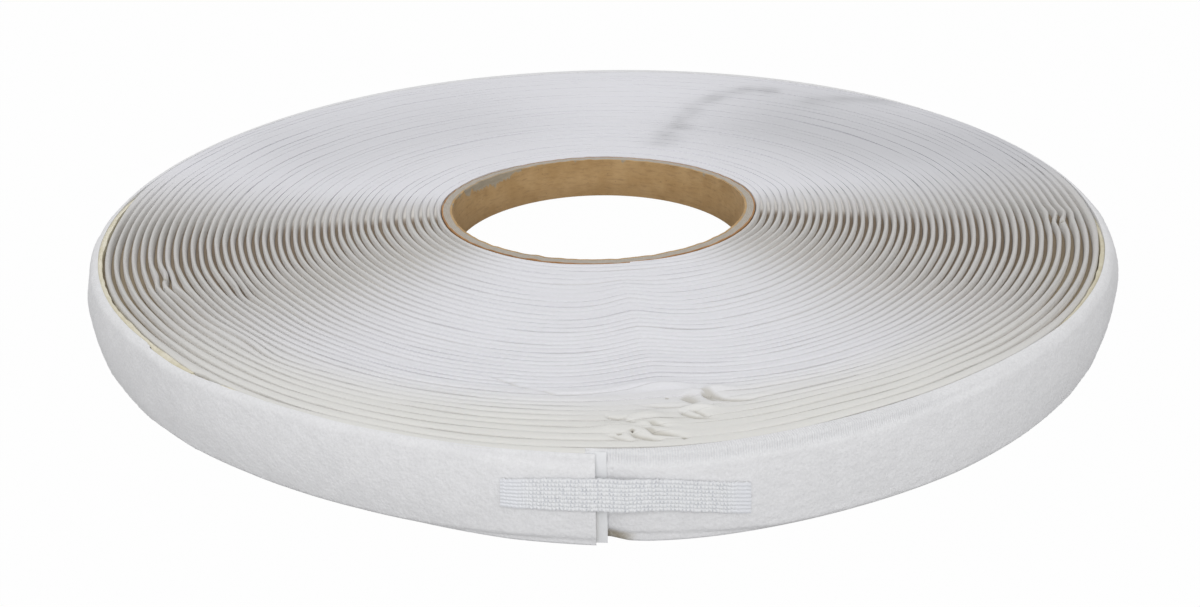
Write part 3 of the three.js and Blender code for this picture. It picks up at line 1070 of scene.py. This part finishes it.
def make_outer_band(look):
    angle = even_angles(LOOSE_START, BAND_SPLIT, BAND_STEP, loose_start_radius)
    shifted = turn_radius(angle) - inner_lean(angle)
    degrees = past_end(angle)
    beside_end = smooth(degrees, -1, 0)
    high_border = HIGH_BORDER + HIGH_BORDER_MORE * beside_end * (1 - smooth(degrees, 22, 42))
    low_border = LOW_BORDER + LOW_BORDER_MORE * beside_end * (1 - smooth(degrees, 3, 15))
    hatch = smooth(degrees, -0.5, 0.5) * (1 - smooth(degrees, 22, 36))
    # Painted shadow low on the band, in the gap just past the free end's edge
    shade = smooth(degrees, -1.5, -0.5) * (1 - smooth(degrees, 1.0, 2.6))

    def inner(share):
        return shifted[:, None] + inner_lean(angle)[:, None] * smooth(share, 0.3, 1)

    face = plain_radius(angle) + LOOSE_THICKNESS
    borders = (low_border, high_border)
    rolled = ROLLED_IN * smooth(degrees, 40, 75)
    sunk = SUNK_UNDER_END * (1 - smooth(angle, UNDER_END - 4 * DEGREE, UNDER_END))
    profile = (face, inner, 1 + 0 * angle, borders, OUTER_TURN_LEAN, rolled, sunk)
    return make_band("outer_turn_fabric", angle, *profile, (hatch, shade), look, OUTER_TURN_SEED)


def make_free_end(look):
    angle = even_angles(BAND_SPLIT, FABRIC_END, BAND_STEP, loose_start_radius)
    on_tail = smooth(angle, TAIL_START - 5 * DEGREE, TAIL_START)
    face = np.where(angle < TAIL_START, plain_radius(angle) + LOOSE_THICKNESS, tail_face_radius(angle))
    thickness = LOOSE_THICKNESS + (TAIL_GROUND + TAIL_PILE - LOOSE_THICKNESS) * on_tail
    near_end = smooth(angle, STRIP_END - 16 * DEGREE, STRIP_END - 4 * DEGREE)
    torn_off = smooth(past_end(angle), -46.5, -45) * (angle > STRIP_END - 90 * DEGREE)

    def inner(share):
        free = lean(angle[:, None], share, FREE_END_LEAN) * on_tail[:, None]
        held = inner_lean(angle)[:, None] * smooth(share, 0.3, 1) * (1 - on_tail[:, None])
        return (face - thickness)[:, None] + free + held

    borders = (TAIL_BORDER + TAIL_LOW_MORE * near_end, TAIL_BORDER + TAIL_HIGH_MORE * near_end)
    rolled = TAIL_ROLLED_IN * (1 - torn_off)
    none = 0 * angle
    profile = (face, inner, 1 - on_tail, borders, FREE_END_LEAN, rolled, none)
    return make_band("free_end_fabric", angle, *profile, (none, none), look, FREE_END_SEED)


# The release liner starts where the bend at the root is over, and leaves the adhesive in its own bend
LINER_BACK = 4.5 * MM

# The adhesive of the free end: thicker than in the plan so that it shows, and uneven along the top
COAT_THICKNESS = ADHESIVE * 1.6
COAT_LOW = 0.3 * MM
COAT_HEIGHTS = (15.8 * MM, 15.3 * MM)
COAT_SHORT = 0.1 * MM
COAT_RAGGED = (
    (0.08 * MM, 5 * MM, 51),
    (0.6 * 0.08 * MM, 1.6 * MM, 52),
)
LINER_HEIGHTS = (15.6 * MM, TAPE_WIDTH - 0.02 * MM)
STRIP_STEP = 1.0 * MM
STRIP_ROWS = np.array([[0.0, 0.01, 0.1, 0.25, 0.4, 0.6, 0.75, 0.9, 0.99, 1.0]])


def plain_strip(name, start, end, inner_at, thickness, low, heights, look, ragged=()):
    """Thin strip along the free end. Its upper edge goes from the first of the heights to the last."""
    angle = even_angles(start, end, STRIP_STEP, END_RADIUS)
    along = (angle - start) * END_RADIUS
    high = (heights[0] + (heights[1] - heights[0]) * smooth(angle, start, end))[:, None]
    height = low + (high - low) * STRIP_ROWS
    height = height + (ripple(along, *ragged) + 0 * along)[:, None] * STRIP_ROWS
    inner = inner_at(angle)[:, None] + lean(angle[:, None], height / TAPE_WIDTH, FREE_END_LEAN)
    out = np.hstack([inner + thickness, inner[:, ::-1]])
    both = np.hstack([height, height[:, ::-1]])
    return ribbon(name, angle, out, both, look, strip_attributes(angle, out, both, 0 * out), crease=40)


# Adhesive of the outermost turn, seen in the last groove

CREAM_STEP = 0.9 * MM
CREAM_START = LOOSE_START + 40 * DEGREE
CREAM_END = TAIL_START - 0.2 * DEGREE
CREAM_FOOT = 10 * MM
CREAM_DOME = 0.1 * MM
CREAM_SET_BACK = 0.05 * MM
CREAM_LET_DOWN = 1.2 * MM
CREAM_SHARES = np.array([0.0, 0.12, 0.5, 0.88, 1.0])
THICKNESS_RIPPLE = (0.12, 7 * MM, 61)
DROP_RIPPLE = (0.5, 9 * MM, 62)


def make_outer_adhesive(look):
    angle = even_angles(CREAM_START, CREAM_END, CREAM_STEP, END_RADIUS)
    along = (angle - angle[0]) * END_RADIUS
    shown = 0.08 + 0.92 * cream_share(angle)
    outer = turn_radius(angle) + (CREAM_OUTSIDE - CREAM_SET_BACK) * cream_open(angle)
    thickness = outer - turn_radius(angle) + CREAM_INSIDE * (1 + ripple(along, THICKNESS_RIPPLE)) * shown
    drop = CREAM_DROP * (1 + ripple(along, DROP_RIPPLE)) + CREAM_LET_DOWN * (1 - cream_share(angle)) ** 2
    dome = CREAM_DOME * (1 - np.sin(np.pi * CREAM_SHARES)) ** 2
    across = np.hstack([CREAM_SHARES, CREAM_SHARES[::-1]])
    out = outer[:, None] - thickness[:, None] * across
    top = (TAPE_WIDTH - drop)[:, None] - dome
    height = np.hstack([top, np.full(top.shape, CREAM_FOOT)])
    attributes = strip_attributes(angle, out, height, 0 * out)
    return ribbon("outer_turn_adhesive", angle, out, height, look, attributes, crease=60)


# Core

CORE_LOWER = 0.3 * MM
CORE_LOWER_AT_BACK = 1.4 * MM
TOP_RIPPLE = (0.05 * MM, 4 * MM, 41)
TORN_ANGLE = 143 * DEGREE
TORN_SPREAD = 21 * DEGREE
TORN_REACH = 3.4 * MM
TORN_RAISED = 0.9 * MM
TORN_EDGE = (-0.1 * MM, 0.25 * MM)
TORN_RIPPLES = (
    (0.5 * MM, 3 * MM, 42),
    (0.2 * MM, 1.2 * MM, 43),
)
RING_STEPS = 720
LINING_ROWS = 40
PLAIN_ROWS = 4
LINING_RADIUS = CORE_BORE / 2 + 0.55 * MM
WRAP_RADIUS = CORE_RADIUS - 0.4 * MM


def core_top(angle):
    at_back = smooth(np.sin(angle), BACK_FROM, 1)
    uneven = ripple(angle * CORE_RADIUS, TOP_RIPPLE)
    return CORE_HEIGHT - CORE_LOWER - CORE_LOWER_AT_BACK * at_back + uneven


def torn_paper(angle, below_top):
    """Share of the torn patch at the upper edge of the lining, where the grey board shows through."""
    reach = TORN_REACH * bell(wrapped(angle - TORN_ANGLE), TORN_SPREAD) - TORN_RAISED
    reach = reach + ripple(angle * CORE_RADIUS, *TORN_RIPPLES)
    return 1 - smooth(below_top - reach, *TORN_EDGE)


def make_ring(name, inner, outer, rows, look):
    """Ring of paper or board with an uneven top and that many rows of points up its inside."""
    angle = np.linspace(0, TURN, RING_STEPS, endpoint=False)
    top = core_top(angle)[:, None]
    up = np.broadcast_to(np.linspace(0, 1, rows), (RING_STEPS, rows))
    up_outside = np.broadcast_to([1.0, 0.5, 0.0], (RING_STEPS, 3))
    out = np.hstack([inner + 0 * up, outer + 0 * up_outside])
    height = np.hstack([top * up, top * up_outside])
    points = section_points(angle, out, height)
    faces = turned_outward(points, tube_faces(RING_STEPS, rows + 3, closed=True))
    wall = np.broadcast_to(angle[:, None] * inner, out.shape)
    attributes = {
        "strip": np.stack([wall, height, out - inner], -1),
        "up": np.hstack([up, up_outside]),
        "torn": np.hstack([torn_paper(angle[:, None], top * (1 - up)), 0 * up_outside]),
    }
    return make_mesh(name, points, faces, look, attributes, crease=40)


# Materials


def fabric_edge_look():
    look = Look("tape_edge", 0.9)
    strip = look.attribute("strip", "Vector")
    depth = look.attribute("depth")
    pressed = look.attribute("pressed")
    cream = look.attribute("cream")
    crease = look.attribute("crease")
    fine = look.noise(look.stretched(strip, (0.5, 1, 1)), 0.35 * MM, 4)
    broad = look.noise(strip, 9 * MM, 3)
    uneven = look.plus(depth, look.times(look.minus(broad, 0.5), 0.2))
    white = look.mixed(cream, rgb(232, 232, 237), rgb(228, 227, 223))
    # Edges that are not pressed, on the flanks, get a greyer colour: painted shade, as their sides get less
    # light
    white = look.mixed(pressed, rgb(204, 202, 199), white)
    grain = look.times(look.spread(fine, 0.3, 0.75, 0, 0.3), look.minus(1.0, look.attribute("calm")))
    white = look.mixed(grain, white, rgb(220, 220, 221))
    # Painted shade in the shallow crevices between the pressed edges, from 0.1 to 0.5 mm down
    crevice_shade = look.times(pressed, look.spread(depth, 0.1, 0.5))
    # Groove walls from 0.4 to 1 mm down get a near white: painted light against the shade of the narrow
    # grooves
    white = look.mixed(look.spread(uneven, 0.4, 1.0), white, rgb(236, 233, 229))
    white = look.mixed(look.times(crevice_shade, 0.5), white, rgb(205, 203, 199))
    # Painted shade in the creases, then the darker colour of the specks
    white = look.mixed(look.spread(crease, 0.2, 1.0, 0.0, 0.7), white, rgb(186, 182, 172))
    white = look.mixed(look.spread(crease, 1.2, 2.2), white, rgb(96, 90, 82))
    # Below 1.4 mm the grooves turn brown: partly the colour of the adhesive and liner edges there, partly
    # painted shade
    brown = look.mixed(broad, rgb(138, 122, 104), rgb(160, 145, 128))
    brown = look.mixed(cream, brown, rgb(180, 166, 142))
    colour = look.mixed(look.spread(uneven, 1.4, 1.9), white, brown)
    # Grey marks at the back, and broad painted shade there
    colour = look.mixed(look.attribute("smudge"), colour, rgb(130, 131, 133))
    return look.finished(colour, grain, 0.05 * MM)


def loop_pile_look():
    look = Look("loop_pile", 0.95, Sheen_Weight=0.12)
    strip = look.attribute("strip", "Vector")
    tufts = look.cells(strip, 0.7 * MM)
    fine = look.noise(strip, 0.5 * MM, 5, 0.65, 0.4)
    mottle = look.noise(strip, 3.5 * MM, 4, 0.6)
    white = look.mixed(look.spread(mottle, 0.3, 0.7), rgb(232, 232, 234), rgb(237, 237, 239))
    white = look.mixed(look.spread(fine, 0.35, 0.7, 0.0, 0.45), white, rgb(218, 218, 219))
    threads = look.maths("SINE", look.times(look.part(strip, 0), TURN / (0.46 * MM)))
    flat = look.minus(1.0, look.attribute("pile"))
    upper = look.spread(look.part(strip, 1), 0.5 * TAPE_WIDTH, 0.6 * TAPE_WIDTH)
    lines = look.times(look.times(threads, flat), look.times(look.attribute("hatch"), upper))
    white = look.mixed(look.spread(lines, 0.1, 1.0, 0, 0.2), white, rgb(196, 200, 208))
    # Brownish painted shadow where the shade attribute says, low on the band beside the free end
    shade = look.times(look.attribute("shade"), look.spread(fine, 0.2, 0.6, 0.5, 0.9))
    white = look.mixed(shade, white, rgb(150, 140, 120))
    relief = look.plus(fine, look.times(tufts, 0.7))
    relief = look.plus(relief, look.times(lines, 0.3))
    return look.finished(white, relief, 0.1 * MM)


def adhesive_look():
    look = Look("cream_adhesive", 0.45)
    strip = look.attribute("strip", "Vector")
    broad = look.noise(strip, 6 * MM, 4, 0.6)
    fine = look.noise(strip, 0.6 * MM, 4)
    colour = look.mixed(look.spread(broad, 0.3, 0.7), rgb(208, 200, 172), rgb(224, 218, 198))
    colour = look.mixed(look.spread(fine, 0.4, 0.8, 0, 0.4), colour, rgb(192, 181, 150))
    return look.finished(colour, fine, 0.08 * MM)


def liner_look():
    look = Look("release_film", 0.38, Coat_Weight=0.15)
    strip = look.attribute("strip", "Vector")
    broad = look.noise(strip, 5 * MM, 4, 0.6)
    fine = look.noise(strip, 0.4 * MM, 3)
    colour = look.mixed(look.spread(broad, 0.3, 0.7), rgb(226, 227, 229), rgb(234, 235, 237))
    return look.finished(colour, fine, 0.03 * MM)


def hook_weave_look():
    look = Look("hook_weave", 0.5, Sheen_Weight=0.1)
    strip = look.attribute("strip", "Vector")
    fine = look.noise(strip, 0.16 * MM, 4)
    colour = look.mixed(look.attribute("gap"), rgb(232, 233, 235), rgb(198, 200, 206))
    colour = look.mixed(look.spread(fine, 0.35, 0.75, 0, 0.3), colour, rgb(220, 221, 224))
    colour = look.mixed(look.times(look.attribute("thin"), 0.7), colour, rgb(224, 226, 232))
    return look.finished(colour, fine, 0.04 * MM)


def kraft_look(name, light, dark):
    look = Look(name, 0.85)
    strip = look.attribute("strip", "Vector")
    torn = look.attribute("torn")
    fibres = look.noise(look.stretched(strip, (0.25, 1, 1)), 0.8 * MM, 5, 0.65)
    clouds = look.noise(strip, 7 * MM, 4, 0.6)
    specks = look.cells(strip, 2.3 * MM)
    colour = look.mixed(look.spread(clouds, 0.3, 0.7), light, dark)
    colour = look.mixed(look.spread(fibres, 0.45, 0.8, 0, 0.45), colour, rgb(120, 92, 62))
    colour = look.mixed(look.spread(specks, 0.0, 0.12, 0.5, 0.0), colour, rgb(90, 70, 50))
    # Painted shade towards the foot of the lining, near the floor
    low = look.spread(look.attribute("up"), 0.0, 0.6, 0.25, 0.0)
    colour = look.mixed(low, colour, rgb(110, 84, 56))
    board = look.mixed(fibres, rgb(150, 138, 118), rgb(186, 176, 158))
    colour = look.mixed(torn, colour, board)
    return look.finished(colour, look.minus(fibres, look.times(torn, 1.5)), 0.1 * MM)


def board_look():
    look = Look("grey_chipboard", 0.92)
    strip = look.attribute("strip", "Vector")
    rings = look.maths("SINE", look.times(look.part(strip, 2), TURN / (0.42 * MM)))
    fibres = look.noise(look.stretched(strip, (0.3, 1, 1)), 0.5 * MM, 5, 0.7)
    colour = look.mixed(fibres, rgb(162, 153, 140), rgb(204, 197, 187))
    colour = look.mixed(look.spread(rings, 0.2, 1.0, 0, 0.35), colour, rgb(138, 126, 112))
    return look.finished(colour, fibres, 0.15 * MM)


# Closure: a woven backing with rows of floats. Its hooks sink into the pile and aren't modelled here.

CLOSURE_SINK = 0.6 * MM
CLOSURE_COLUMNS = 560
CLOSURE_POINTS = 74
FLOAT_ROWS = 8
FLOAT_PITCH = 0.625 * MM
FLOAT_SHIFT = 0.06 * MM
GAP_DEPTH = 0.17 * MM
RIB_DEPTH = 0.05 * MM
PICK_DEPTH = 0.03 * MM
FACE_SET_BACK = 0.12 * MM
# The floats run out over the last lengths before the left end and the right end
LEFT_RUN_OUT = (2.2 * MM, 7.5 * MM)
RIGHT_RUN_OUT = (CLOSURE_LENGTH - 6 * MM, CLOSURE_LENGTH - 2 * MM)
GAP_LENGTH = 1.7 * MM
GAP_SEED = 31
LOWER_RAGGED = (
    (0.04 * MM, 1.3 * MM, 32),
    (0.05 * MM, 0.6 * MM, 33),
)
UPPER_RAGGED = (
    (0.04 * MM, 1.1 * MM, 34),
    (0.05 * MM, 0.7 * MM, 35),
)

# Millimetres along the strip, height of its middle line above the tape's, and its width
CLOSURE_COURSE = (
    (0.8, 1.5, 4.7),
    (4, 1.6, 4.9),
    (9, 1.9, 5.3),
    (18, 2.1, 5.5),
    (26, 1.6, 5.5),
    (34, 0.5, 5.5),
    (42.2, -0.8, 5.5),
)


def closure_seat(angle, share):
    """Inner face of the backing, leaned like the free end and the turn below it."""
    drop = smooth(angle, DROP_START, DROP_END)[:, None]
    on_tail = lean(np.minimum(angle, STRIP_END)[:, None], share, FREE_END_LEAN)
    on_turn = lean(np.maximum(angle, STRIP_END + 2 * DEGREE)[:, None], share, OUTER_TURN_LEAN)
    return closure_radius(angle)[:, None] + on_tail * (1 - drop) + on_turn * drop - CLOSURE_SINK


def make_closure(look):
    course = np.array(CLOSURE_COURSE) * MM
    along = np.linspace(course[0, 0], course[-1, 0], CLOSURE_COLUMNS)
    angle = CLOSURE_START + along / END_RADIUS
    across = np.linspace(0, 1, CLOSURE_POINTS)[None, :]
    middle = np.interp(along, course[:, 0], course[:, 1])[:, None]
    wide = np.interp(along, course[:, 0], course[:, 2])[:, None]
    low = TAPE_WIDTH / 2 + middle - wide / 2
    u = along[:, None]
    v = across * wide

    # Weave: dashes in rows, which run out towards both ends
    row = v / (wide / FLOAT_ROWS)
    shift = FLOAT_SHIFT * np.sin(np.floor(row) * 2.4)
    dash = 0.5 + 0.5 * np.cos(TURN * (u + shift) / FLOAT_PITCH)
    dash = np.clip((dash - 0.6) / 0.4, 0, 1)
    in_row = np.clip(np.cos(TURN * (row - 0.5)) * 1.6 + 0.9, 0, 1)
    between = np.clip((0.5 + 0.5 * np.cos(TURN * row) - 0.7) / 0.3, 0, 1)
    gap = np.maximum(dash * in_row, 0.55 * between)
    ends = smooth(u, *LEFT_RUN_OUT) * (1 - smooth(u, *RIGHT_RUN_OUT))
    gap = np.clip(gap * ends * (0.75 + 0.25 * waves(u, v, GAP_LENGTH, GAP_SEED)), 0, 1)
    rib = RIB_DEPTH * np.cos(TURN * row)
    pick = PICK_DEPTH * np.cos(TURN * 2 * u / FLOAT_PITCH) * ends

    seat = closure_seat(angle, (low + v) / TAPE_WIDTH)
    face = seat + CLOSURE_THICKNESS - FACE_SET_BACK - GAP_DEPTH * gap - rib + pick
    height = low + v + ripple(u, *LOWER_RAGGED) * (1 - across) + ripple(u, *UPPER_RAGGED) * across
    out = np.hstack([face, seat[:, [-1, 0]]])
    both = np.hstack([height, height[:, [-1, 0]]])
    flat_back = np.zeros((CLOSURE_COLUMNS, 2))
    gap = np.hstack([gap, flat_back])
    thin = np.hstack([np.broadcast_to(1 - ends, face.shape), flat_back])
    attributes = strip_attributes(angle, out, both, 0 * out, gap=gap, thin=thin)
    around = CLOSURE_POINTS + 2
    faces = tube_faces(CLOSURE_COLUMNS, around).tolist()
    for start in (0, (CLOSURE_COLUMNS - 1) * around):
        upper_back = start + CLOSURE_POINTS
        halfway = CLOSURE_POINTS // 2
        for step in range(CLOSURE_POINTS - 1):
            back = upper_back + 1 if step < halfway else upper_back
            faces.append((start + step, start + step + 1, back))
        faces.append((start + halfway, upper_back, upper_back + 1))
    points = section_points(angle, out, both)
    return make_mesh("closure_weave", points, faces, look, attributes, crease=60, outward=True)


def build():
    edge = fabric_edge_look()
    pile = loop_pile_look()
    cream = adhesive_look()
    kraft = kraft_look("kraft_inside", rgb(196, 163, 117), rgb(180, 146, 99))
    outer_kraft = kraft_look("kraft_outside", rgb(186, 140, 92), rgb(160, 116, 72))

    inner_turns = make_wound_turns("inner_turns", START_ANGLE, TURNS_SPLIT, edge)
    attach(inner_turns, "roll")
    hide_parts("tape_inner_winding")
    outer_turns = make_wound_turns("outer_turns", TURNS_SPLIT, UNDER_END, edge)
    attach(outer_turns, "roll")
    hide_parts("tape_outer_winding")

    band = make_outer_band(pile)
    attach(band, "roll")
    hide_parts("tape_outermost_turn")

    free_end = make_free_end(pile)
    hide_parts("tail_loop_fabric")
    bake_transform(free_end)

    outer_cream = make_outer_adhesive(cream)
    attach(outer_cream, "roll")

    coat_end = FABRIC_END - COAT_SHORT / END_RADIUS
    coat_course = (TAIL_START, coat_end, adhesive_radius)
    coat_profile = (COAT_THICKNESS, COAT_LOW, COAT_HEIGHTS)
    coat = plain_strip("free_end_adhesive", *coat_course, *coat_profile, cream, COAT_RAGGED)
    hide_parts("tail_adhesive_coat")
    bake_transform(coat)

    liner_start = TAIL_START + LINER_BACK / END_RADIUS
    liner_course = (liner_start, FILM_END, liner_radius)
    liner = plain_strip("release_liner", *liner_course, LINER, 0.0, LINER_HEIGHTS, liner_look())
    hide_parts("tail_release_liner")
    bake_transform(liner)

    closure = make_closure(hook_weave_look())
    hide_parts("closure_hook_strip")
    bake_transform(closure)

    inner_ply = make_ring("core_lining", CORE_BORE / 2, LINING_RADIUS, LINING_ROWS, kraft)
    wall = make_ring("core_wall", LINING_RADIUS, WRAP_RADIUS, PLAIN_ROWS, board_look())
    outer_ply = make_ring("core_wrap", WRAP_RADIUS, CORE_RADIUS, PLAIN_ROWS, outer_kraft)
    for piece, slot, node in (
        (inner_ply, "kraft_paper", "core_inner_ply"),
        (wall, "grey_board", "core_board"),
        (outer_ply, "kraft_paper", "core_outer_ply"),
    ):
        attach(piece, "roll")
        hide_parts(node)


make_camera()
make_world()
make_lights()
make_floor()
build()

bpy.context.scene.view_settings.view_transform = "Standard"
